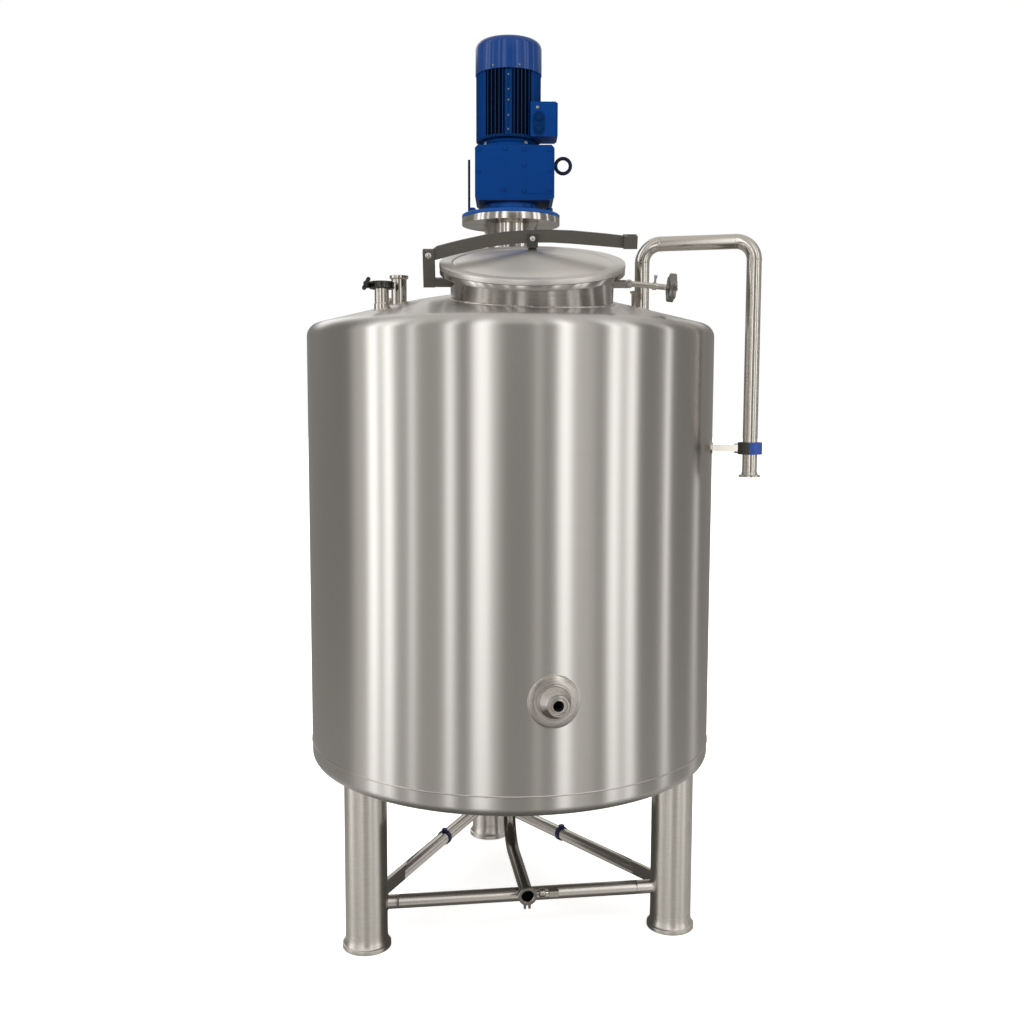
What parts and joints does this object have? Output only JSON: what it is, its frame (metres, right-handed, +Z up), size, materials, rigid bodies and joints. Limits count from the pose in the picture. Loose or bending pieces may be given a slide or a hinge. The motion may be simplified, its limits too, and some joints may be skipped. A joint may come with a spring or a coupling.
{
  "type": "stirred tank reactor",
  "caption": "Upright jacketed steel tank on braced legs with a hinged round manway, a top-mounted blue gear motor drive, a side spray tube, a front port and a bottom outlet.",
  "frame": {"origin": "centre of the bounding box's footprint, on the floor under the feet", "axes": "+Z up along the tank, the manway and the front port face -Y, the spray tube is on the +X side"},
  "size_m": [1.2662, 1.1909, 2.4985],
  "materials": {
    "stainless_steel": "brushed, satin sheen",
    "satin_steel": "satin",
    "dark_steel": "dark grey, matt",
    "drive_paint": "deep blue, semi-gloss",
    "plastic_trim": "matt blue"
  },
  "bodies": {
    "vessel": {"agitator": "stainless_steel", "bottom_head": "stainless_steel", "brace_1": "satin_steel", "brace_2": "satin_steel", "brace_3": "satin_steel", "brace_tie_1": "plastic_trim", "brace_tie_2": "plastic_trim", "clip_plastic": "plastic_trim", "clip_steel": "stainless_steel", "drive_flange": "drive_paint", "drive_pedestal": "stainless_steel", "fan_cowl": "drive_paint", "foot_1": "satin_steel", "foot_2": "satin_steel", "foot_3": "satin_steel", "gearbox": "drive_paint", "hinge_bracket": "dark_steel", "hinge_pin": "stainless_steel", "leg_1": "satin_steel", "leg_2": "satin_steel", "leg_3": "satin_steel", "lifting_eye": "dark_steel", "manway_neck": "stainless_steel", "motor_adaptor": "drive_paint", "motor_body": "drive_paint", "outlet_clamp": "satin_steel", "outlet_lever": "dark_steel", "outlet_pipe": "satin_steel", "port_capped": "stainless_steel", "port_clamp": "dark_steel", "port_nozzle": "stainless_steel", "port_pad": "stainless_steel", "port_plug": "stainless_steel", "port_rear": "stainless_steel", "port_tube": "stainless_steel", "seam_weld": "stainless_steel", "shell": "stainless_steel", "spray_downpipe": "stainless_steel", "spray_elbow_in": "stainless_steel", "spray_elbow_out": "stainless_steel", "spray_riser": "stainless_steel", "spray_run": "stainless_steel", "swing_lug": "stainless_steel", "terminal_box": "drive_paint", "top_head": "stainless_steel"},
    "lid": {"manway_lid": "stainless_steel", "lid_clevis": "dark_steel", "clevis_bolt": "stainless_steel", "lid_arm": "dark_steel"},
    "closing_bolt": {"swing_bolt": "stainless_steel"},
    "wheel": {"hand_wheel": "dark_steel"}
  },
  "joints": [
    {"name": "lid_hinge", "type": "hinge", "parent": "vessel", "child": "lid", "pos_m": [-0.2671, -0.28688, 1.85686], "axis": [0, -0.9553, -0.2957], "range_deg": [0, 95]},
    {"name": "bolt_swing", "type": "hinge", "parent": "vessel", "child": "closing_bolt", "pos_m": [0.252, -0.26544, 1.7876], "axis": [0, -0.9553, -0.2957], "range_deg": [0, 45]},
    {"name": "wheel_spin", "type": "hinge", "parent": "closing_bolt", "child": "wheel", "pos_m": [0.3635, -0.26232, 1.77754], "axis": [0.9956, 0.0278, -0.0899], "continuous": true}
  ]
}
